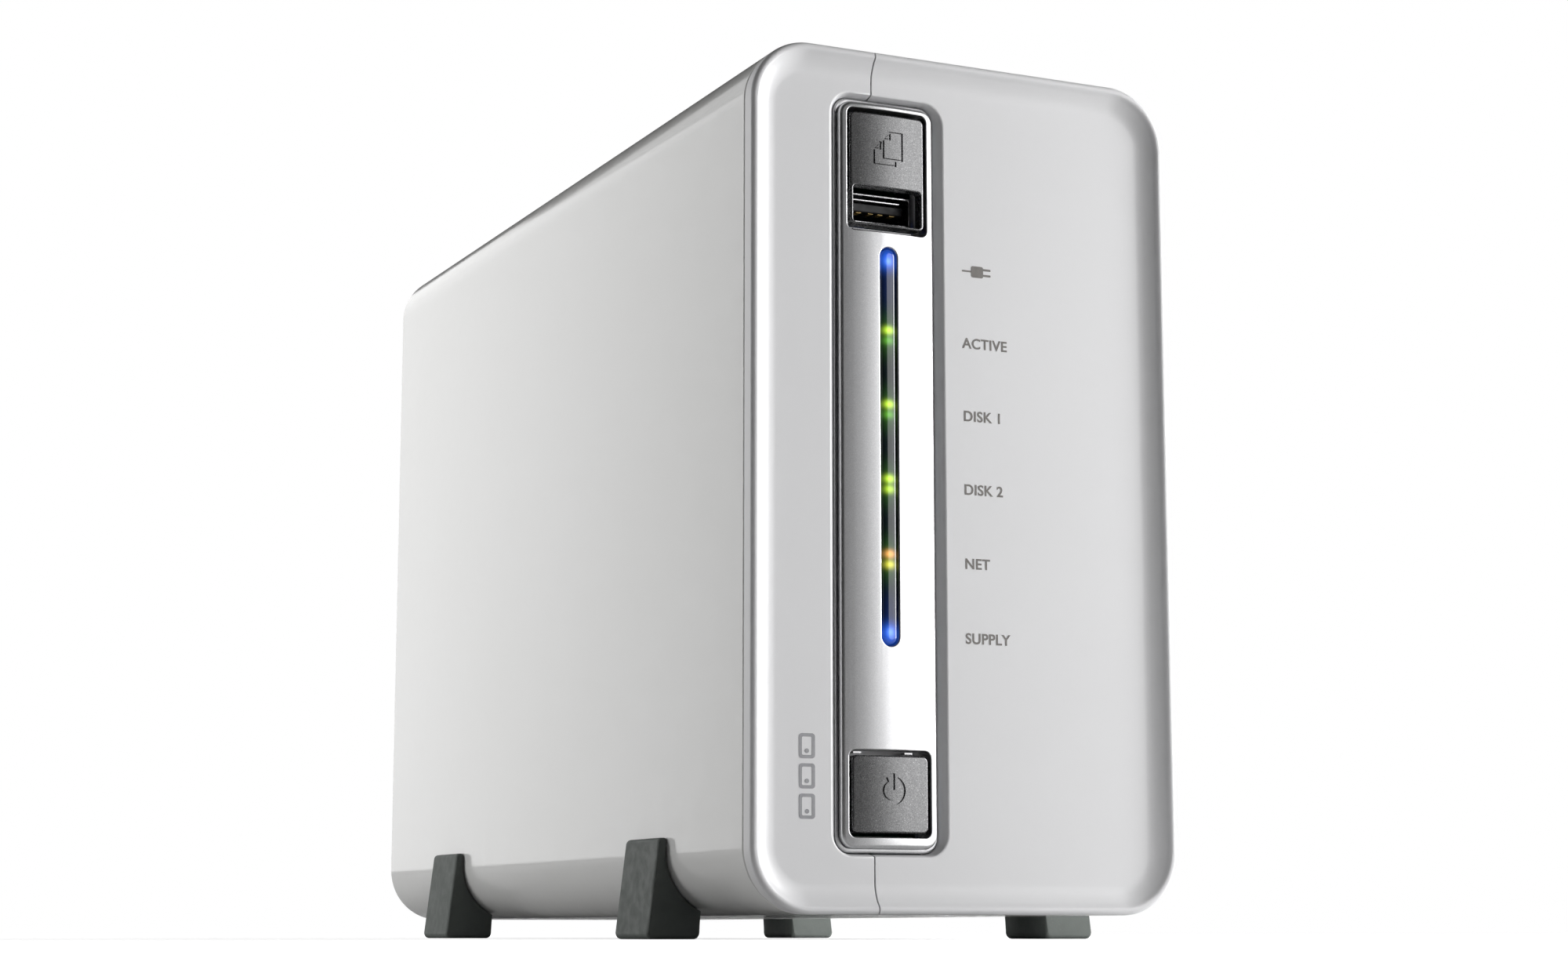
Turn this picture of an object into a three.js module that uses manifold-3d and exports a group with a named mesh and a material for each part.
// Two-drive desktop network attached storage, as an assembly of separate solids.
// Millimetres, +Z up, front towards -Y. Inside the assembly group X is centred on the casing,
// Y runs back from the front rim and Z runs up from the underside of the casing.
import * as THREE from 'three';
import { mergeVertices } from 'three/addons/utils/BufferGeometryUtils.js';
import Module from 'manifold-3d';

// Driving dimensions
const BODY_W = 89;
const BODY_H = 160.6;
const BODY_D = 211;
const TOTAL_D = 218;
const CORNER_R = 12;
const FOOT_DROP = 4.4;
const WALL = 2.5;
const GAP = 0.3;
const SEAM_X = -19;
const BEZEL_D = 3.2;
const DISH_D = 1.9;
const DISH_INSET = 5.7;
const RIM_INSET = 1.2;
const EDGE_ROUND = 0.9;

// The silver strip and everything set in it
const STRIP_X = -15.7;
const RECESS = { x0: -26.4, x1: -5, z0: 10.8, z1: 152.1, r: 3.2 };
const RECESS_BEVEL = { w: 1.1, d: 1.6 };
const FLANGE = { x0: -26.2, x1: -5.2, z0: 11, z1: 151.9, r: 3 };
const PLATEAU = { x0: -25.5, x1: -5.9, z0: 11.8, z1: 151.1, r: 2.6 };
const PLATEAU_Y = 1.5;
const FLANGE_Y = 3.4;
const TRIM_BACK_Y = 5;
const TRIM_PEG = { x: -20.7, z: [42, 124.8], r: 1.2, hole: 1.6 };
const CARRIER_Y = 5.4;
const CARRIER_T = 1.4;
const BUTTON_HALF_W = 8.35;
const COPY_Z = [126.3, 149.9];
const POWER_Z = [13.8, 29.6];
const BUTTON_GAP = 0.55;
const BUTTON_Y = [1.6, 4.1];
const USB_Z = 131.4;
const USB_HOLE = { w: 14.1, h: 7 };
const USB_SHELL = { w: 13.1, h: 5.7, t: 0.4 };
const SOCKET_Y = [5, 21.7];
const PIPE_HALF_W = 1.75;
const PIPE_Z = [48.6, 123.4];
const LED_TOP_Z = 120.6;
const LED_PITCH = 14;
const LED_SIZE = { w: 3.2, d: 1.2 };
const FRONT_BOARD = { x0: -26.5, x1: -3.5, y: 22, z0: 12, z1: 152 };
const BOARD_T = 1.6;
const SWITCH_Z = { copy: 144, power: 19 };

// Drives, cage and boards
const DRIVE = { t: 26.1, y0: 28, y1: 175, z0: 29.5, z1: 131.1 };
const DRIVE_X = [-27, 3];
const DRIVE_SCREW_Y = [44.9, 146.5];
const DRIVE_SCREW_INSET = 6.35;
const SHEET = 1.2;
const CAGE = { x0: -29, x1: 31.2, y0: 30, y1: 176, z0: 28, z1: 132.6 };
const MAIN_X = 34;
const MAIN = { y0: 40, y1: 206, z0: 8, z1: 150 };
const BACKPLANE_Y = 181.2;
const STANDOFF_Z = [16, 142];
const STANDOFF_Y = { screwed: 48, pinned: 186 };
const STANDOFF_R = 2.8;
const PIN_R = 1.4;
const PLUG_Z = [46, 90];

// Rear
const PANEL_Y = [207.8, 209];
const FAN = { x: -4, z: 110, size: 70, depth: 15, hole: 30, bore: 33 };
const THUMB = { x: -34, z: [10, 151.5] };
const PORT_FACE_Y = 208.9;
const PORT_BASE_X = 33.7;
const DC_Z = [8, 17];
const USB_REAR_Z = [[21, 34.1], [37, 50.1]];
const RESET = { x: 29.5, z: 53.8, r: 1.1, hole: 1.5, collar: 2 };
const LAN_Z = [57.5, 73.5];

const wasm = await Module();
wasm.setup();

// Solids from three.js geometry, joined and cut
function solid(geometry) {
  const bare = geometry.index ? geometry.toNonIndexed() : geometry.clone();
  bare.deleteAttribute('normal');
  bare.deleteAttribute('uv');
  const merged = mergeVertices(bare, 1e-4);
  return new wasm.Manifold(new wasm.Mesh({
    numProp: 3,
    vertProperties: new Float32Array(merged.attributes.position.array),
    triVerts: new Uint32Array(merged.index.array),
  }));
}

function join(...parts) {
  return parts.reduce((whole, part) => whole.add(part));
}

function cut(whole, ...tools) {
  return tools.reduce((left, tool) => left.subtract(tool), whole);
}

function box(x0, x1, y0, y1, z0, z1) {
  const geometry = new THREE.BoxGeometry(x1 - x0, y1 - y0, z1 - z0);
  return solid(geometry.translate((x0 + x1) / 2, (y0 + y1) / 2, (z0 + z1) / 2));
}

function rodX(y, z, r, x0, x1, sides = 12) {
  const geometry = new THREE.CylinderGeometry(r, r, x1 - x0, sides).rotateZ(Math.PI / 2);
  return solid(geometry.translate((x0 + x1) / 2, y, z));
}

function rodY(x, z, r, y0, y1, sides = 16) {
  const geometry = new THREE.CylinderGeometry(r, r, y1 - y0, sides);
  return solid(geometry.translate(x, (y0 + y1) / 2, z));
}

function rodZ(x, y, r, z0, z1, sides = 12) {
  const geometry = new THREE.CylinderGeometry(r, r, z1 - z0, sides).rotateX(Math.PI / 2);
  return solid(geometry.translate(x, y, (z0 + z1) / 2));
}

function roundedRect(x0, z0, x1, z1, r) {
  const shape = new THREE.Shape();
  shape.moveTo(x0 + r, z0);
  shape.lineTo(x1 - r, z0);
  shape.absarc(x1 - r, z0 + r, r, -Math.PI / 2, 0, false);
  shape.lineTo(x1, z1 - r);
  shape.absarc(x1 - r, z1 - r, r, 0, Math.PI / 2, false);
  shape.lineTo(x0 + r, z1);
  shape.absarc(x0 + r, z1 - r, r, Math.PI / 2, Math.PI, false);
  shape.lineTo(x0, z0 + r);
  shape.absarc(x0 + r, z0 + r, r, Math.PI, Math.PI * 1.5, false);
  return shape;
}

// A shape drawn in X and Z, extruded from y0 back to y1
function prismY(shape, y0, y1, segments = 2) {
  const geometry = new THREE.ExtrudeGeometry(shape, {
    depth: y1 - y0,
    bevelEnabled: false,
    curveSegments: segments,
  });
  return solid(geometry.rotateX(Math.PI / 2).translate(0, y1, 0));
}

// A shape drawn in X and Y, extruded upwards from z0 to z1
function prismZ(shape, z0, z1) {
  const geometry = new THREE.ExtrudeGeometry(shape, { depth: z1 - z0, bevelEnabled: false });
  return solid(geometry.translate(0, 0, z0));
}

// A shape drawn in Y and Z, extruded along X from x0 to x1
function prismX(shape, x0, x1) {
  const geometry = new THREE.ExtrudeGeometry(shape, {
    depth: x1 - x0,
    bevelEnabled: false,
    curveSegments: 2,
  });
  const turn = new THREE.Matrix4().makeBasis(
    new THREE.Vector3(0, 1, 0),
    new THREE.Vector3(0, 0, 1),
    new THREE.Vector3(1, 0, 0),
  );
  return solid(geometry.applyMatrix4(turn).translate(x0, 0, 0));
}

function areaShape(area, grow = 0) {
  return roundedRect(area.x0 - grow, area.z0 - grow, area.x1 + grow, area.z1 + grow, area.r + grow);
}

function block(area, y0, y1, grow = 0) {
  return prismY(areaShape(area, grow), y0, y1);
}

// The casing outline, moved inwards
function outline(inset) {
  const half = BODY_W / 2 - inset;
  return roundedRect(-half, inset, half, BODY_H - inset, CORNER_R - inset);
}

// Everything on one side of the seam, and the front and back of a cut that goes right through
const FAR = 300;
const COVER_SIDE = box(-BODY_W, SEAM_X - GAP / 2, -FAR, FAR, -FAR, FAR);
const BASE_SIDE = box(SEAM_X + GAP / 2, BODY_W, -FAR, FAR, -FAR, FAR);
const FRONT_CUT = [-1, 20];
const REAR_CUT = [200, TOTAL_D];

// Materials
const COLOURS = {
  casing: [0xf1f1ef, 0.22, 0],
  bezel: [0xe6e6e8, 0.35, 0],
  silver: [0xb9b9bd, 0.38, 0.8],
  graphite: [0x4c4d50, 0.5, 0.35],
  lens: [0x1b2536, 0.08, 0],
  rubber: [0x5f6764, 0.75, 0],
  steel: [0xb6b9bb, 0.4, 0.9],
  chrome: [0xd8dadd, 0.2, 1],
  aluminium: [0xa9adb1, 0.45, 0.9],
  board: [0x1d5a37, 0.55, 0],
  black: [0x1c1d1f, 0.6, 0],
  blue: [0x2a5bff, 0.3, 0],
  green: [0xa9f03c, 0.3, 0],
  cable: [0x8c9096, 0.7, 0],
};

const assembly = new THREE.Group();
assembly.position.set(0, -TOTAL_D / 2, FOOT_DROP);

function place(name, part, colour) {
  const made = part.getMesh();
  const geometry = new THREE.BufferGeometry();
  geometry.setAttribute('position', new THREE.BufferAttribute(made.vertProperties, 3));
  geometry.setIndex(new THREE.BufferAttribute(made.triVerts, 1));
  geometry.computeVertexNormals();
  const [color, roughness, metalness] = COLOURS[colour];
  const mesh = new THREE.Mesh(geometry, new THREE.MeshStandardMaterial({ color, roughness, metalness }));
  mesh.name = name;
  assembly.add(mesh);
}

// Casing: a shallow cover on the left that slides off forwards, and a deep base on the right
const SHELL_Y0 = BEZEL_D + GAP;
const INNER_TOP = BODY_H - WALL;
const INNER_X = BODY_W / 2 - WALL;
const BOSS_R = 4.5;
const BOSS_Y = [196, 206.5];
const BOSS_BORE = 2.2;
const BOSS_ROOT = 0.3;

function casingRing() {
  const ring = prismY(outline(0), SHELL_Y0, BODY_D, 3);
  return ring.subtract(prismY(outline(WALL), SHELL_Y0 - 1, BODY_D + 1, 3));
}

function screwBoss(z, wallZ) {
  const post = rodY(THUMB.x, z, BOSS_R, BOSS_Y[0], BOSS_Y[1]);
  const low = Math.min(z, wallZ);
  const high = Math.max(z, wallZ);
  return post.add(box(THUMB.x - BOSS_R, THUMB.x + BOSS_R, BOSS_Y[0], BOSS_Y[1], low, high));
}

function leftCover() {
  const shell = casingRing().intersect(COVER_SIDE);
  const bosses = join(
    screwBoss(THUMB.z[0], WALL - BOSS_ROOT),
    screwBoss(THUMB.z[1], INNER_TOP + BOSS_ROOT),
  );
  const bores = THUMB.z.map((z) => rodY(THUMB.x, z, BOSS_BORE, BOSS_Y[0] - 1, BOSS_Y[1] + 1));
  return cut(shell.add(bosses), ...bores);
}

// Lips on the base run under the cover's edges and close the seam
const LIP = { reach: 3, t: 1.5, y0: 12, y1: 190, root: 0.5 };
const LIP_X = [SEAM_X - LIP.reach, SEAM_X + LIP.reach];
const LIP_ROOT_X = SEAM_X + GAP / 2;

function seamLips() {
  const [x0, x1] = LIP_X;
  const upper = [INNER_TOP - GAP - LIP.t, INNER_TOP - GAP];
  const lower = [WALL + GAP, WALL + GAP + LIP.t];
  return join(
    box(x0, x1, LIP.y0, LIP.y1, ...upper),
    box(LIP_ROOT_X, x1, LIP.y0, LIP.y1, upper[0], INNER_TOP + LIP.root),
    box(x0, x1, LIP.y0, LIP.y1, ...lower),
    box(LIP_ROOT_X, x1, LIP.y0, LIP.y1, WALL - LIP.root, lower[1]),
  );
}

const INTAKE = { x0: -9, y: [58, 112], w: 3, length: 34, pitch: 6, count: 7 };

function intakeSlots() {
  const slots = [];
  for (const y of INTAKE.y) {
    for (let column = 0; column < INTAKE.count; column += 1) {
      const x = INTAKE.x0 + column * INTAKE.pitch;
      slots.push(box(x, x + INTAKE.w, y, y + INTAKE.length, -1, WALL + 1));
    }
  }
  return join(...slots);
}

function standoffs() {
  const posts = [];
  for (const z of STANDOFF_Z) {
    const x0 = MAIN_X + BOARD_T + GAP;
    const screwed = rodX(STANDOFF_Y.screwed, z, STANDOFF_R, x0, INNER_X + 0.5);
    posts.push(screwed.subtract(rodX(STANDOFF_Y.screwed, z, PIN_R + GAP, x0 - 1, x0 + 5)));
    posts.push(rodX(STANDOFF_Y.pinned, z, STANDOFF_R, x0, INNER_X + 0.5));
    posts.push(rodX(STANDOFF_Y.pinned, z, PIN_R, MAIN_X - 0.6, x0 + 1));
  }
  return join(...posts);
}

// Ledges that the rear panel rests against
const LEDGE = { t: 4, reach: 3.5, root: 0.3, sideZ: [[96, 114], [30, 48]], x: [0, 16] };

function rearLedges() {
  const y1 = PANEL_Y[0] - GAP;
  const y0 = y1 - LEDGE.t;
  const side = LEDGE.sideZ.map((z) => box(INNER_X - LEDGE.reach, INNER_X + LEDGE.root, y0, y1, ...z));
  return join(
    ...side,
    box(...LEDGE.x, y0, y1, INNER_TOP - LEDGE.reach, INNER_TOP + LEDGE.root),
    box(...LEDGE.x, y0, y1, WALL - LEDGE.root, WALL + LEDGE.reach),
  );
}

function rightShell() {
  const shell = casingRing().intersect(BASE_SIDE);
  return join(shell, seamLips(), standoffs(), rearLedges()).subtract(intakeSlots());
}

// Front bezel: a rounded rim around a shallow dish, with a recess for the strip
const EXTRA = 10;

// The shape lies at depth y and flares out by `size` over `thickness` towards the front
function flaredPrism(shape, y, thickness, size, bevelSegments, curveSegments) {
  const geometry = new THREE.ExtrudeGeometry(shape, {
    depth: EXTRA,
    bevelThickness: thickness,
    bevelSize: size,
    bevelSegments,
    curveSegments,
  });
  return solid(geometry.rotateX(Math.PI / 2).translate(0, y - thickness, 0));
}

function bezelPlate() {
  const plate = flaredPrism(outline(EDGE_ROUND), EXTRA + 2 * EDGE_ROUND, EDGE_ROUND, EDGE_ROUND, 3, 3);
  const dish = flaredPrism(outline(DISH_INSET), DISH_D, DISH_D, DISH_INSET - RIM_INSET, 3, 3);
  return plate.subtract(dish).intersect(box(-BODY_W, BODY_W, -1, BEZEL_D, -EXTRA, BODY_H + EXTRA));
}

function recessOpening() {
  const mouth = flaredPrism(areaShape(RECESS), DISH_D + RECESS_BEVEL.d, RECESS_BEVEL.d, RECESS_BEVEL.w, 1, 2);
  return block(RECESS, ...FRONT_CUT).add(mouth);
}

const COLLAR = { t: 1.2, y0: DISH_D + 0.2, coverDepth: 5.1 };

function recessCollar(depth) {
  return block(RECESS, COLLAR.y0, depth, COLLAR.t);
}

const SNAP_TAB = { z: [28, 74, 120], t: 1.4, height: 12, reach: 10 };
const ROOT = 0.4;

function snapTabs(side) {
  const outer = side * (INNER_X - GAP);
  const inner = outer - side * SNAP_TAB.t;
  const tabs = SNAP_TAB.z.map((z) => (
    box(Math.min(outer, inner), Math.max(outer, inner), BEZEL_D - ROOT, SNAP_TAB.reach, z, z + SNAP_TAB.height)
  ));
  return join(...tabs);
}

function frontBezelLeft() {
  const body = join(bezelPlate(), recessCollar(COLLAR.coverDepth), snapTabs(-1));
  return body.subtract(recessOpening()).intersect(COVER_SIDE);
}

// The base's bezel also carries the plate behind the strip and the posts of the front board
const BOARD_POST = { at: [[-22.6, 38], [-22.6, 116], [-6.2, 38], [-6.2, 116]], r: 2.2, pin: 1.1, hole: 1.5 };
const CARRIER_BACK = CARRIER_Y + CARRIER_T;
const CARRIER = { x0: RECESS.x0 + 1.4, x1: RECESS.x1 + 1, z0: RECESS.z0 + GAP, z1: RECESS.z1 - GAP, r: 3 };
const CARRIER_WINDOW = { halfW: 7.4, copy: [1.3, 0.2], power: [0.2, -2.2] };

function carrierWindow([z0, z1], [low, high]) {
  const half = CARRIER_WINDOW.halfW;
  return box(STRIP_X - half, STRIP_X + half, ...FRONT_CUT, z0 + low, z1 + high);
}

function stripCarrier() {
  const openings = [
    carrierWindow(COPY_Z, CARRIER_WINDOW.copy),
    carrierWindow(POWER_Z, CARRIER_WINDOW.power),
    pipeSlot(GAP / 2, ...FRONT_CUT),
    ...TRIM_PEG.z.map((z) => rodY(TRIM_PEG.x, z, TRIM_PEG.hole, ...FRONT_CUT, 12)),
  ];
  const plate = cut(block(CARRIER, CARRIER_Y, CARRIER_BACK), ...openings);
  const pinTip = FRONT_BOARD.y + BOARD_T + 0.8;
  const posts = BOARD_POST.at.map(([x, z]) => (
    rodY(x, z, BOARD_POST.r, CARRIER_BACK - ROOT, FRONT_BOARD.y - GAP, 12)
      .add(rodY(x, z, BOARD_POST.pin, CARRIER_BACK, pinTip, 12))
  ));
  return join(plate, ...posts);
}

// Lips behind the cover's bezel close the front seam
const FRONT_LIP = { t: 1.2, edge: 3.4, clear: 1.9 };

function frontLips() {
  const y1 = SHELL_Y0 + FRONT_LIP.t;
  const [x0, x1] = LIP_X;
  const ranges = [
    [FRONT_LIP.edge, RECESS.z0 - FRONT_LIP.clear],
    [RECESS.z1 + FRONT_LIP.clear, BODY_H - FRONT_LIP.edge],
  ];
  const lips = ranges.map(([z0, z1]) => (
    box(x0, x1, SHELL_Y0, y1, z0, z1).add(box(LIP_ROOT_X, x1, BEZEL_D - ROOT, y1, z0, z1))
  ));
  return join(...lips);
}

function frontBezelRight() {
  const frame = join(bezelPlate(), recessCollar(CARRIER_BACK), snapTabs(1));
  const body = frame.subtract(recessOpening()).intersect(BASE_SIDE);
  return join(body, stripCarrier(), frontLips());
}

// Strip: a silver trim panel, two buttons and the light pipe
function pipeSlot(grow, y0, y1) {
  const w = PIPE_HALF_W + grow;
  return prismY(roundedRect(STRIP_X - w, PIPE_Z[0] - grow, STRIP_X + w, PIPE_Z[1] + grow, w), y0, y1);
}

function buttonArea(zRange, inset) {
  return {
    x0: STRIP_X - BUTTON_HALF_W + inset,
    x1: STRIP_X + BUTTON_HALF_W - inset,
    z0: zRange[0] + inset,
    z1: zRange[1] - inset,
    r: 1.2,
  };
}

function trimPanel() {
  const body = join(
    block(FLANGE, FLANGE_Y, TRIM_BACK_Y),
    block(PLATEAU, PLATEAU_Y, TRIM_BACK_Y),
  );
  const pegs = TRIM_PEG.z.map((z) => rodY(TRIM_PEG.x, z, TRIM_PEG.r, TRIM_BACK_Y - ROOT, CARRIER_BACK, 12));
  const openings = [
    block(buttonArea(COPY_Z, 0), ...FRONT_CUT),
    block(buttonArea(POWER_Z, 0), ...FRONT_CUT),
    pipeSlot(0, ...FRONT_CUT),
  ];
  return join(cut(body, ...openings), ...pegs);
}

const STEM_TIP_Y = 16.4;
const STEM_HALF = 1.5;

function buttonStem(z) {
  const x0 = STRIP_X - STEM_HALF;
  return box(x0, x0 + 2 * STEM_HALF, BUTTON_Y[1] - ROOT, STEM_TIP_Y, z - STEM_HALF, z + STEM_HALF);
}

function copyButton() {
  const face = block(buttonArea(COPY_Z, BUTTON_GAP), BUTTON_Y[0], BUTTON_Y[1]);
  const hole = box(
    STRIP_X - USB_HOLE.w / 2,
    STRIP_X + USB_HOLE.w / 2,
    ...FRONT_CUT,
    USB_Z - USB_HOLE.h / 2,
    USB_Z + USB_HOLE.h / 2,
  );
  return face.subtract(hole).add(buttonStem(SWITCH_Z.copy));
}

function powerButton() {
  const face = block(buttonArea(POWER_Z, BUTTON_GAP), BUTTON_Y[0], BUTTON_Y[1]);
  return face.add(buttonStem(SWITCH_Z.power));
}

function lightPipe() {
  return pipeSlot(-GAP, PLATEAU_Y - 0.1, FRONT_BOARD.y - LED_SIZE.d - 2 * GAP);
}

// Front board with its socket, lamps and switches
function frontBoard() {
  const { x0, x1, y, z0, z1 } = FRONT_BOARD;
  const plate = box(x0, x1, y, y + BOARD_T, z0, z1);
  const holes = BOARD_POST.at.map(([x, z]) => rodY(x, z, BOARD_POST.hole, y - 1, y + BOARD_T + 1, 12));
  return cut(plate, ...holes);
}

function socketRing(shell, x, z, y0, y1) {
  const halfW = shell.w / 2;
  const halfH = shell.h / 2;
  const outer = box(x - halfW, x + halfW, y0, y1, z - halfH, z + halfH);
  const t = shell.t;
  return outer.subtract(
    box(x - halfW + t, x + halfW - t, y0 - 1, y1 + 1, z - halfH + t, z + halfH - t),
  );
}

function frontUsbShell() {
  return socketRing(USB_SHELL, STRIP_X, USB_Z, ...SOCKET_Y);
}

const TONGUE = { baseHalfW: 5.8, baseHalfH: 2.1, baseT: 3.2, halfW: 5.55, z0: 0.1, z1: 1.9, setBack: 1.4 };

function frontUsbTongue() {
  const baseY = SOCKET_Y[1] - TONGUE.baseT;
  const { baseHalfW, baseHalfH, halfW } = TONGUE;
  return join(
    box(STRIP_X - baseHalfW, STRIP_X + baseHalfW, baseY, SOCKET_Y[1], USB_Z - baseHalfH, USB_Z + baseHalfH),
    box(
      STRIP_X - halfW,
      STRIP_X + halfW,
      SOCKET_Y[0] + TONGUE.setBack,
      baseY + ROOT,
      USB_Z + TONGUE.z0,
      USB_Z + TONGUE.z1,
    ),
  );
}

function lamp(z) {
  const half = LED_SIZE.w / 2;
  const y1 = FRONT_BOARD.y - GAP;
  return box(STRIP_X - half, STRIP_X + half, y1 - LED_SIZE.d, y1, z - half, z + half);
}

const SWITCH = { half: 3, depth: 3.4, capR: 1.7, capDepth: 4.1 };

function pushSwitch(z) {
  const y1 = FRONT_BOARD.y - GAP;
  const half = SWITCH.half;
  return join(
    box(STRIP_X - half, STRIP_X + half, y1 - SWITCH.depth, y1, z - half, z + half),
    rodY(STRIP_X, z, SWITCH.capR, y1 - SWITCH.capDepth, y1 - SWITCH.depth + ROOT, 12),
  );
}

// Two 3.5 inch drives on edge, each a casting with a cover plate and a circuit board
const DRIVE_BORE = { r: 1.9, depth: 5 };
const DRIVE_LID = { t: 0.9, margin: 1, corner: 4 };
const DRIVE_BOARD = { x: [23.9, 25.5], y: [62, 170], z: [38, 123] };
const DRIVE_PLUG = { x: [18.5, 24.2], y: [166, 174.5] };
const DRIVE_CHIPS = [{ y: [96, 110], z: [70, 84] }, { y: [124, 134], z: [60, 70] }];
const DRIVE_CHIP_X = [25.3, 26];
const BAY_MARGIN = 2;

function driveCasting(x) {
  const outer = roundedRect(DRIVE.y0, DRIVE.z0, DRIVE.y1, DRIVE.z1, 3);
  const body = prismX(outer, x + DRIVE_LID.t + GAP, x + DRIVE.t);
  const boardBay = box(
    x + DRIVE_BOARD.x[0] - GAP,
    x + DRIVE.t + 1,
    DRIVE_BOARD.y[0] - BAY_MARGIN,
    DRIVE_BOARD.y[1] + BAY_MARGIN,
    DRIVE_BOARD.z[0] - BAY_MARGIN,
    DRIVE_BOARD.z[1] + BAY_MARGIN,
  );
  const plugBay = box(
    x + DRIVE_PLUG.x[0] - GAP,
    x + DRIVE.t + 1,
    DRIVE_PLUG.y[0] - 1,
    DRIVE.y1 + 1,
    PLUG_Z[0] - 1,
    PLUG_Z[1] + BAY_MARGIN,
  );
  const screwX = x + DRIVE.t - DRIVE_SCREW_INSET;
  const bores = DRIVE_SCREW_Y.flatMap((y) => [
    rodZ(screwX, y, DRIVE_BORE.r, DRIVE.z0 - 1, DRIVE.z0 + DRIVE_BORE.depth),
    rodZ(screwX, y, DRIVE_BORE.r, DRIVE.z1 - DRIVE_BORE.depth, DRIVE.z1 + 1),
  ]);
  return cut(body, boardBay, plugBay, ...bores);
}

function driveCover(x) {
  const m = DRIVE_LID.margin;
  const shape = roundedRect(DRIVE.y0 + m, DRIVE.z0 + m, DRIVE.y1 - m, DRIVE.z1 - m, DRIVE_LID.corner);
  return prismX(shape, x, x + DRIVE_LID.t);
}

function driveBoard(x) {
  const offset = (range) => range.map((value) => x + value);
  const chips = DRIVE_CHIPS.map(({ y, z }) => box(...offset(DRIVE_CHIP_X), ...y, ...z));
  return join(
    box(...offset(DRIVE_BOARD.x), ...DRIVE_BOARD.y, ...DRIVE_BOARD.z),
    box(...offset(DRIVE_PLUG.x), ...DRIVE_PLUG.y, ...PLUG_Z),
    ...chips,
  );
}

const DRIVE_SCREW = { headR: 2.9, headT: 1.6, r: 1.5, reach: 4.6 };

function driveScrew(x, y, top) {
  const plateZ = top ? CAGE.z1 : CAGE.z0;
  const out = top ? 1 : -1;
  const headA = plateZ + out * GAP;
  const headB = headA + out * DRIVE_SCREW.headT;
  const tip = plateZ - out * DRIVE_SCREW.reach;
  const root = headA + out * ROOT;
  return join(
    rodZ(x, y, DRIVE_SCREW.headR, Math.min(headA, headB), Math.max(headA, headB)),
    rodZ(x, y, DRIVE_SCREW.r, Math.min(tip, root), Math.max(tip, root)),
  );
}

// Folded sheet cage, open to the left, on four legs that reach the floor of the base
const CAGE_VENT = { y: [62, 104, 146], z: 80, r: 12 };
const CAGE_LEG = { x: [-16, 19.2], y: [34, 164], w: 12, foot: 8 };

function driveCage() {
  const top = box(CAGE.x0, CAGE.x1, CAGE.y0, CAGE.y1, CAGE.z1 - SHEET, CAGE.z1);
  const bottom = box(CAGE.x0, CAGE.x1, CAGE.y0, CAGE.y1, CAGE.z0, CAGE.z0 + SHEET);
  const wall = box(CAGE.x1 - SHEET, CAGE.x1, CAGE.y0, CAGE.y1, CAGE.z0, CAGE.z1);
  const holes = [];
  for (const x of DRIVE_X) {
    for (const y of DRIVE_SCREW_Y) {
      holes.push(rodZ(x + DRIVE.t - DRIVE_SCREW_INSET, y, DRIVE_BORE.r, CAGE.z0 - 1, CAGE.z1 + 1));
    }
  }
  for (const y of CAGE_VENT.y) {
    holes.push(rodX(y, CAGE_VENT.z, CAGE_VENT.r, CAGE.x1 - SHEET - 1, CAGE.x1 + 1, 24));
  }
  const floorZ = WALL + GAP;
  const legs = [];
  for (const x of CAGE_LEG.x) {
    for (const y of CAGE_LEG.y) {
      legs.push(box(x, x + CAGE_LEG.w, y, y + SHEET, floorZ, CAGE.z0 + ROOT));
      legs.push(box(x, x + CAGE_LEG.w, y, y + CAGE_LEG.foot, floorZ, floorZ + SHEET));
    }
  }
  return cut(join(top, bottom, wall, ...legs), ...holes);
}

const BACKPLANE = { x: [-24, 27], z: [38, 98] };
const TAB = { x: [26, 32.2], z: [44, 82] };
const DRIVE_SOCKET = { x: [18.5, 23.5], y0: DRIVE.y1 + 0.4 };

function sataBackplane() {
  const y = [BACKPLANE_Y, BACKPLANE_Y + BOARD_T];
  const sockets = DRIVE_X.map((x) => (
    box(x + DRIVE_SOCKET.x[0], x + DRIVE_SOCKET.x[1], DRIVE_SOCKET.y0, BACKPLANE_Y + ROOT, ...PLUG_Z)
  ));
  return join(box(...BACKPLANE.x, ...y, ...BACKPLANE.z), box(...TAB.x, ...y, ...TAB.z), ...sockets);
}

// Main board: an upright board with its chips, coils and the slot for the backplane
const SLOT = { x0: 27.8, y: [178.2, 185.8], wall: 3, clear: 0.6 };
const RESET_SWITCH = { x0: 26, y: [192, 199], half: 2.8 };
const PROCESSOR = { t: 1.2, y: [96, 112], z: [92, 108] };
const MEMORY = { t: 1.1, y: [128, 140], z: [60, 74], w: 9 };
const COIL = { at: [[150, 24], [150, 36], [164, 24]], r: 3.2, t: 5 };
const SINK = 0.2;
const BOARD_HOLE_R = 1.8;

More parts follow.
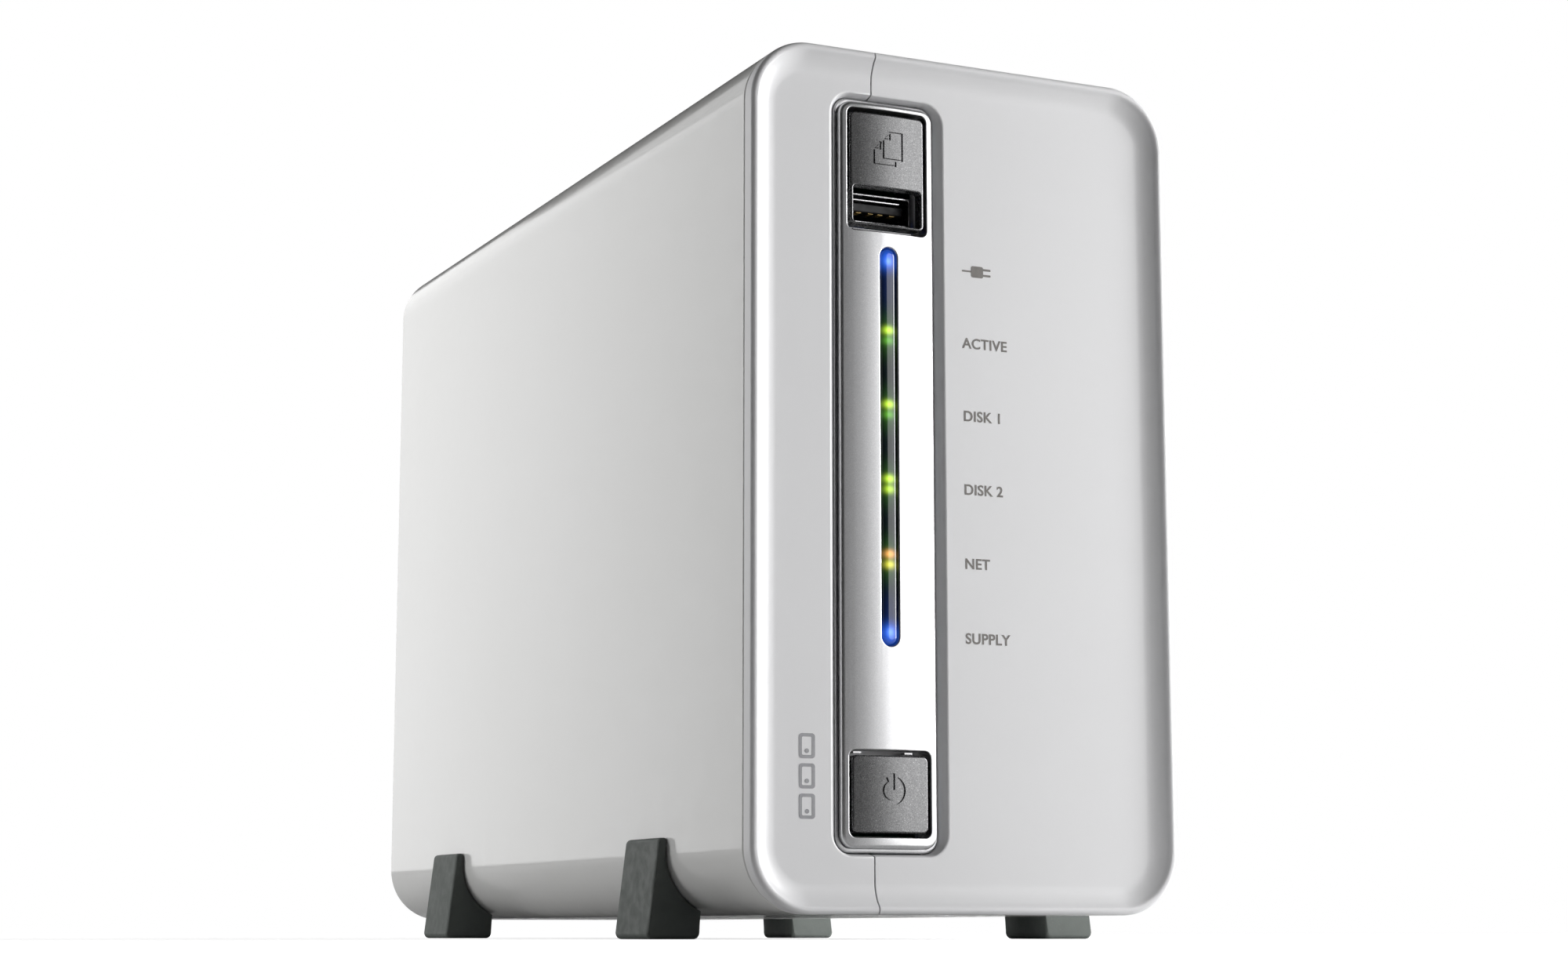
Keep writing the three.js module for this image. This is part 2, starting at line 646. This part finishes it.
function mainboard() {
  const x1 = MAIN_X + BOARD_T;
  const plate = box(MAIN_X, x1, MAIN.y0, MAIN.y1, MAIN.z0, MAIN.z1);
  const slot = box(SLOT.x0, MAIN_X + SINK, ...SLOT.y, TAB.z[0] - SLOT.wall, TAB.z[1] + SLOT.wall);
  const groove = box(
    SLOT.x0 - 1,
    TAB.x[1] + ROOT,
    BACKPLANE_Y - ROOT,
    BACKPLANE_Y + BOARD_T + ROOT,
    TAB.z[0] - SLOT.clear,
    TAB.z[1] + SLOT.clear,
  );
  const resetZ = [RESET.z - RESET_SWITCH.half, RESET.z + RESET_SWITCH.half];
  const resetSwitch = box(RESET_SWITCH.x0, MAIN_X + SINK, ...RESET_SWITCH.y, ...resetZ);
  const processor = box(x1 - SINK, x1 + PROCESSOR.t, ...PROCESSOR.y, ...PROCESSOR.z);
  const memory = MEMORY.z.map((z) => box(x1 - SINK, x1 + MEMORY.t, ...MEMORY.y, z, z + MEMORY.w));
  const coils = COIL.at.map(([y, z]) => rodX(y, z, COIL.r, x1 - SINK, x1 + COIL.t));
  const boardHoles = STANDOFF_Z.flatMap((z) => [
    rodX(STANDOFF_Y.screwed, z, BOARD_HOLE_R, MAIN_X - 1, x1 + 1),
    rodX(STANDOFF_Y.pinned, z, BOARD_HOLE_R, MAIN_X - 1, x1 + 1),
  ]);
  return join(cut(plate, ...boardHoles), slot.subtract(groove), resetSwitch, processor, ...memory, ...coils);
}

const BOARD_SCREW = { headR: 2.8, headT: 1.6, r: 1.4, reach: 5.4 };

function mainboardScrew(z) {
  const headX = MAIN_X - GAP;
  return join(
    rodX(STANDOFF_Y.screwed, z, BOARD_SCREW.headR, headX - BOARD_SCREW.headT, headX),
    rodX(STANDOFF_Y.screwed, z, BOARD_SCREW.r, headX - ROOT, MAIN_X + BOARD_SCREW.reach),
  );
}

const HEATSINK = { y: [88, 120], z: [84, 116], base: 1.4, fin: 1.4, fins: 8, firstY: 88.5, pitch: 4.2 };

function heatsink() {
  const x0 = MAIN_X + BOARD_T + PROCESSOR.t + GAP;
  const x1 = INNER_X - ROOT;
  const fins = [];
  for (let fin = 0; fin < HEATSINK.fins; fin += 1) {
    const y = HEATSINK.firstY + fin * HEATSINK.pitch;
    fins.push(box(x0 + 1, x1, y, y + HEATSINK.fin, ...HEATSINK.z));
  }
  return join(box(x0, x0 + HEATSINK.base, ...HEATSINK.y, ...HEATSINK.z), ...fins);
}

// Rear: panel, fan and sockets
const GRILLE = { reach: 31, pitch: 6.2, rows: 4, slot: 3.4, rib: 2.4 };
const PANEL_SLOT = { x: [-28.5, -21.5], z: [38.5, 41.5] };
const FAN_HOLE_R = 2.2;
const THUMB_HOLE_R = 2.3;

function fanSlots() {
  const slots = [];
  for (let row = -GRILLE.rows; row <= GRILLE.rows; row += 1) {
    const rise = row * GRILLE.pitch;
    const half = Math.sqrt(GRILLE.reach ** 2 - rise ** 2);
    const z = [FAN.z + rise - GRILLE.slot / 2, FAN.z + rise + GRILLE.slot / 2];
    slots.push(box(FAN.x - half, FAN.x - GRILLE.rib / 2, ...REAR_CUT, ...z));
    slots.push(box(FAN.x + GRILLE.rib / 2, FAN.x + half, ...REAR_CUT, ...z));
  }
  return slots;
}

function fanHoles(r, y0, y1) {
  const holes = [];
  for (const dx of [-FAN.hole, FAN.hole]) {
    for (const dz of [-FAN.hole, FAN.hole]) {
      holes.push(rodY(FAN.x + dx, FAN.z + dz, r, y0, y1, 12));
    }
  }
  return holes;
}

const JACK_X0 = { dc: 24.7, usb: 27, lan: 20.2 };
const PORT_CLEAR = 0.35;

function portCutout(x0, [z0, z1]) {
  return box(x0 - PORT_CLEAR, PORT_BASE_X + PORT_CLEAR, ...REAR_CUT, z0 - PORT_CLEAR, z1 + PORT_CLEAR);
}

function rearPanel() {
  const plate = prismY(outline(WALL + GAP), PANEL_Y[0], PANEL_Y[1], 3);
  return cut(
    plate,
    ...fanSlots(),
    ...fanHoles(FAN_HOLE_R, ...REAR_CUT),
    ...THUMB.z.map((z) => rodY(THUMB.x, z, THUMB_HOLE_R, ...REAR_CUT)),
    portCutout(JACK_X0.dc, DC_Z),
    portCutout(JACK_X0.usb, USB_REAR_Z[0]),
    portCutout(JACK_X0.usb, USB_REAR_Z[1]),
    portCutout(JACK_X0.lan, LAN_Z),
    rodY(RESET.x, RESET.z, RESET.hole, ...REAR_CUT, 12),
    box(...PANEL_SLOT.x, ...REAR_CUT, ...PANEL_SLOT.z),
  );
}

const FAN_Y = [PANEL_Y[0] - GAP - FAN.depth, PANEL_Y[0] - GAP];
const STRUT = { length: 24, t: 2, w: 3, out: 22, count: 4, turn: 0.4 };
const MOTOR = { r: 13, t: 2.2, bearing: 2 };
const ROTOR = { hubR: 13.5, shaftR: 1.5, blades: 7 };
const BLADE = { length: 19.5, t: 1.2, w: 12, from: 12, pitch: 0.85 };

function fanFrame() {
  const half = FAN.size / 2;
  const [y0, y1] = FAN_Y;
  const shape = roundedRect(FAN.x - half, FAN.z - half, FAN.x + half, FAN.z + half, 4);
  const ring = cut(
    prismY(shape, y0, y1),
    rodY(FAN.x, FAN.z, FAN.bore, y0 - 1, y1 + 1, 36),
    ...fanHoles(FAN_HOLE_R, y0 - 1, y1 + 1),
  );
  const struts = [];
  for (let arm = 0; arm < STRUT.count; arm += 1) {
    const strut = new THREE.BoxGeometry(STRUT.length, STRUT.t, STRUT.w).translate(STRUT.out, 0, 0);
    strut.rotateY((arm * 2 * Math.PI) / STRUT.count + STRUT.turn);
    struts.push(solid(strut.translate(FAN.x, y1 - STRUT.t / 2, FAN.z)));
  }
  const motor = rodY(FAN.x, FAN.z, MOTOR.r, y1 - MOTOR.t, y1, 24);
  const bearing = rodY(FAN.x, FAN.z, MOTOR.bearing, y1 - MOTOR.t - 1, y1 - 0.8, 12);
  return join(ring, ...struts, motor).subtract(bearing);
}

function fanRotor() {
  const y0 = FAN_Y[0] + 1;
  const y1 = FAN_Y[1] - MOTOR.t - 2 * GAP;
  const hub = rodY(FAN.x, FAN.z, ROTOR.hubR, y0, y1, 24);
  const shaft = rodY(FAN.x, FAN.z, ROTOR.shaftR, y1 - 1, FAN_Y[1] - 1.2, 12);
  const { length, t, w, from, pitch } = BLADE;
  const blades = [];
  for (let blade = 0; blade < ROTOR.blades; blade += 1) {
    const plate = new THREE.BoxGeometry(length, t, w).rotateX(pitch).translate(from + length / 2, 0, 0);
    plate.rotateY((blade * 2 * Math.PI) / ROTOR.blades);
    blades.push(solid(plate.translate(FAN.x, (y0 + y1) / 2, FAN.z)));
  }
  return join(hub, shaft, ...blades);
}

const FAN_SCREW = { headR: 3.2, headT: 1.6, r: 1.8, tipY: 197, cross: 2, crossHalfW: 0.4, crossD: 0.8 };
const THUMB_SCREW = { headR: 5, r: 1.9, tipY: 197, slotHalfW: 0.6, slotD: 1.6 };

function fanScrew(dx, dz) {
  const x = FAN.x + dx;
  const z = FAN.z + dz;
  const y = PANEL_Y[1] + GAP;
  const { cross, crossHalfW } = FAN_SCREW;
  const head = rodY(x, z, FAN_SCREW.headR, y, y + FAN_SCREW.headT);
  const crossY = [y + FAN_SCREW.crossD, y + FAN_SCREW.headT + 1];
  const bars = join(
    box(x - cross, x + cross, ...crossY, z - crossHalfW, z + crossHalfW),
    box(x - crossHalfW, x + crossHalfW, ...crossY, z - cross, z + cross),
  );
  return join(head.subtract(bars), rodY(x, z, FAN_SCREW.r, FAN_SCREW.tipY, y + ROOT, 12));
}

function thumbScrew(z) {
  const y = PANEL_Y[1] + GAP;
  const { headR, r, tipY, slotHalfW, slotD } = THUMB_SCREW;
  const head = rodY(THUMB.x, z, headR, y, TOTAL_D, 20);
  const slot = box(
    THUMB.x - headR - 1,
    THUMB.x + headR + 1,
    TOTAL_D - slotD,
    TOTAL_D + 1,
    z - slotHalfW,
    z + slotHalfW,
  );
  return join(head.subtract(slot), rodY(THUMB.x, z, r, tipY, y + 1));
}

const REAR_USB = { y0: 195, back: 2, side: 0.7, end: 0.4, tongue: { x: [1.2, 3], y: [196, 204], z: 1 } };
const LAN_JACK = {
  y0: 188,
  plug: { x: [2.2, 10.2], y0: 196, z: 2.1 },
  latch: { x: [10, 12.2], y0: 198, halfW: 3 },
};
const DC_JACK = { y0: 197, mouthR: 3, mouthY: 199, pinR: 1, pinY: [198, 207.5] };

function rearUsb([z0, z1]) {
  const { y0, back, side, end, tongue } = REAR_USB;
  const shell = box(JACK_X0.usb, PORT_BASE_X, y0, PORT_FACE_Y, z0, z1);
  const cavity = box(JACK_X0.usb + side, PORT_BASE_X - side, y0 + back, TOTAL_D, z0 + end, z1 - end);
  const [x0, x1] = tongue.x;
  const blade = box(JACK_X0.usb + x0, JACK_X0.usb + x1, ...tongue.y, z0 + tongue.z, z1 - tongue.z);
  return shell.subtract(cavity).add(blade);
}

function lanJack() {
  const [z0, z1] = LAN_Z;
  const { y0, plug, latch } = LAN_JACK;
  const mid = (z0 + z1) / 2;
  const at = ([x0, x1]) => [JACK_X0.lan + x0, JACK_X0.lan + x1];
  return cut(
    box(JACK_X0.lan, PORT_BASE_X, y0, PORT_FACE_Y, z0, z1),
    box(...at(plug.x), plug.y0, TOTAL_D, z0 + plug.z, z1 - plug.z),
    box(...at(latch.x), latch.y0, TOTAL_D, mid - latch.halfW, mid + latch.halfW),
  );
}

function dcJack() {
  const x = (JACK_X0.dc + PORT_BASE_X) / 2;
  const z = (DC_Z[0] + DC_Z[1]) / 2;
  const body = box(JACK_X0.dc, PORT_BASE_X, DC_JACK.y0, PORT_FACE_Y, ...DC_Z);
  const mouth = rodY(x, z, DC_JACK.mouthR, DC_JACK.mouthY, TOTAL_D, 20);
  return body.subtract(mouth).add(rodY(x, z, DC_JACK.pinR, ...DC_JACK.pinY, 12));
}

const RESET_Y = [200, 208.6];

function resetButton() {
  return join(
    rodY(RESET.x, RESET.z, RESET.r, ...RESET_Y, 12),
    rodY(RESET.x, RESET.z, RESET.collar, RESET_Y[0], RESET_Y[0] + 1.5, 12),
  );
}

// Cables inside the casing
const FAN_PLUG = { x0: 31.5, y: [179, 185], z: [92, 98] };
const WIRE_R = 0.8;
const RIBBON = { t: 0.8, z: [100, 112], x: [-13, 33], y1: 52, bend: 2 };
const RIBBON_PLUG = {
  z: [98, 114],
  front: { x: [-16, -9], in: 0.7, out: 2.8 },
  main: { x0: 31.5, y: [50, 56] },
};

function fanCable() {
  const path = new THREE.CatmullRomCurve3([
    new THREE.Vector3(28, 192.2, 94),
    new THREE.Vector3(28, 189.6, 94),
    new THREE.Vector3(29.2, 187.2, 94.4),
    new THREE.Vector3(31.6, 186.2, 95),
    new THREE.Vector3(32.6, 184.6, 95),
  ]);
  const section = new THREE.Shape().absarc(0, 0, WIRE_R, 0, Math.PI * 2, false);
  const wire = new THREE.ExtrudeGeometry(section, { steps: 12, extrudePath: path, curveSegments: 4 });
  return solid(wire).add(box(FAN_PLUG.x0, MAIN_X - GAP, ...FAN_PLUG.y, ...FAN_PLUG.z));
}

function frontCable() {
  const y = FRONT_BOARD.y + BOARD_T + 1;
  const [x0, x1] = RIBBON.x;
  const { t, bend, y1 } = RIBBON;
  const { front, main } = RIBBON_PLUG;
  const shape = new THREE.Shape();
  shape.moveTo(x0, y);
  shape.lineTo(x1 - bend, y);
  shape.lineTo(x1, y + bend);
  shape.lineTo(x1, y1);
  shape.lineTo(x1 - t, y1);
  shape.lineTo(x1 - t, y + bend + t / 2);
  shape.lineTo(x1 - bend - t / 2, y + t);
  shape.lineTo(x0, y + t);
  return join(
    prismZ(shape, ...RIBBON.z),
    box(...front.x, y - front.in, y + front.out, ...RIBBON_PLUG.z),
    box(main.x0, MAIN_X - GAP, ...main.y, ...RIBBON_PLUG.z),
  );
}

// Foot: a rubber block that hugs the casing's lower corner
const FOOT_LENGTH = 16.7;
const FOOT_Y = { front: 37.7, rear: 155.7 };
const FOOT_X = { inner: 37.6, bottom: 48.5, top: 46.6 };
const FOOT_TOP = 14.5;

function foot(side, y0) {
  const hugR = CORNER_R + GAP;
  const centreX = BODY_W / 2 - CORNER_R;
  const start = Math.acos((FOOT_X.inner - centreX) / hugR);
  const shape = new THREE.Shape();
  shape.moveTo(FOOT_X.inner, -FOOT_DROP);
  shape.lineTo(FOOT_X.bottom, -FOOT_DROP);
  shape.lineTo(FOOT_X.top, FOOT_TOP);
  shape.lineTo(centreX + hugR, FOOT_TOP);
  shape.lineTo(centreX + hugR, CORNER_R);
  shape.absarc(centreX, CORNER_R, hugR, 0, -start, true);
  const rightFoot = prismY(shape, y0, y0 + FOOT_LENGTH, 3);
  return side > 0 ? rightFoot : rightFoot.mirror([1, 0, 0]);
}

// The assembly
place('left_cover', leftCover(), 'casing');
place('right_shell', rightShell(), 'casing');
place('front_bezel_left', frontBezelLeft(), 'bezel');
place('front_bezel_right', frontBezelRight(), 'bezel');
place('rear_panel', rearPanel(), 'steel');
for (const [end, y] of Object.entries(FOOT_Y)) {
  place(`foot_${end}_left`, foot(-1, y), 'rubber');
  place(`foot_${end}_right`, foot(1, y), 'rubber');
}
place('thumb_screw_bottom', thumbScrew(THUMB.z[0]), 'chrome');
place('thumb_screw_top', thumbScrew(THUMB.z[1]), 'chrome');

place('trim_panel', trimPanel(), 'silver');
place('copy_button', copyButton(), 'graphite');
place('power_button', powerButton(), 'graphite');
place('light_pipe', lightPipe(), 'lens');
place('front_board', frontBoard(), 'board');
place('front_usb_shell', frontUsbShell(), 'steel');
place('front_usb_tongue', frontUsbTongue(), 'black');
const LAMPS = [
  ['usb', 'blue'],
  ['system', 'green'],
  ['disk_1', 'green'],
  ['disk_2', 'green'],
  ['network', 'green'],
  ['power', 'blue'],
];
LAMPS.forEach(([name, colour], index) => {
  place(`led_${name}`, lamp(LED_TOP_Z - index * LED_PITCH), colour);
});
place('copy_switch', pushSwitch(SWITCH_Z.copy), 'black');
place('power_switch', pushSwitch(SWITCH_Z.power), 'black');

place('drive_cage', driveCage(), 'steel');
DRIVE_X.forEach((x, index) => {
  const drive = `drive_${index + 1}`;
  place(`${drive}_casting`, driveCasting(x), 'aluminium');
  place(`${drive}_cover`, driveCover(x), 'steel');
  place(`${drive}_board`, driveBoard(x), 'board');
  const screwX = x + DRIVE.t - DRIVE_SCREW_INSET;
  place(`${drive}_screw_top_front`, driveScrew(screwX, DRIVE_SCREW_Y[0], true), 'chrome');
  place(`${drive}_screw_top_rear`, driveScrew(screwX, DRIVE_SCREW_Y[1], true), 'chrome');
  place(`${drive}_screw_bottom_front`, driveScrew(screwX, DRIVE_SCREW_Y[0], false), 'chrome');
  place(`${drive}_screw_bottom_rear`, driveScrew(screwX, DRIVE_SCREW_Y[1], false), 'chrome');
});
place('sata_backplane', sataBackplane(), 'board');
place('mainboard', mainboard(), 'board');
place('mainboard_screw_bottom', mainboardScrew(STANDOFF_Z[0]), 'chrome');
place('mainboard_screw_top', mainboardScrew(STANDOFF_Z[1]), 'chrome');
place('cpu_heatsink', heatsink(), 'aluminium');

place('fan_frame', fanFrame(), 'black');
place('fan_rotor', fanRotor(), 'black');
for (const [row, dz] of [['bottom', -FAN.hole], ['top', FAN.hole]]) {
  place(`fan_screw_${row}_left`, fanScrew(-FAN.hole, dz), 'chrome');
  place(`fan_screw_${row}_right`, fanScrew(FAN.hole, dz), 'chrome');
}
place('dc_jack', dcJack(), 'black');
place('usb_rear_lower', rearUsb(USB_REAR_Z[0]), 'steel');
place('usb_rear_upper', rearUsb(USB_REAR_Z[1]), 'steel');
place('reset_button', resetButton(), 'black');
place('lan_jack', lanJack(), 'steel');
place('fan_cable', fanCable(), 'cable');
place('front_cable', frontCable(), 'cable');

const storage = new THREE.Group();
storage.add(assembly);
storage.updateMatrixWorld(true);

export default storage;
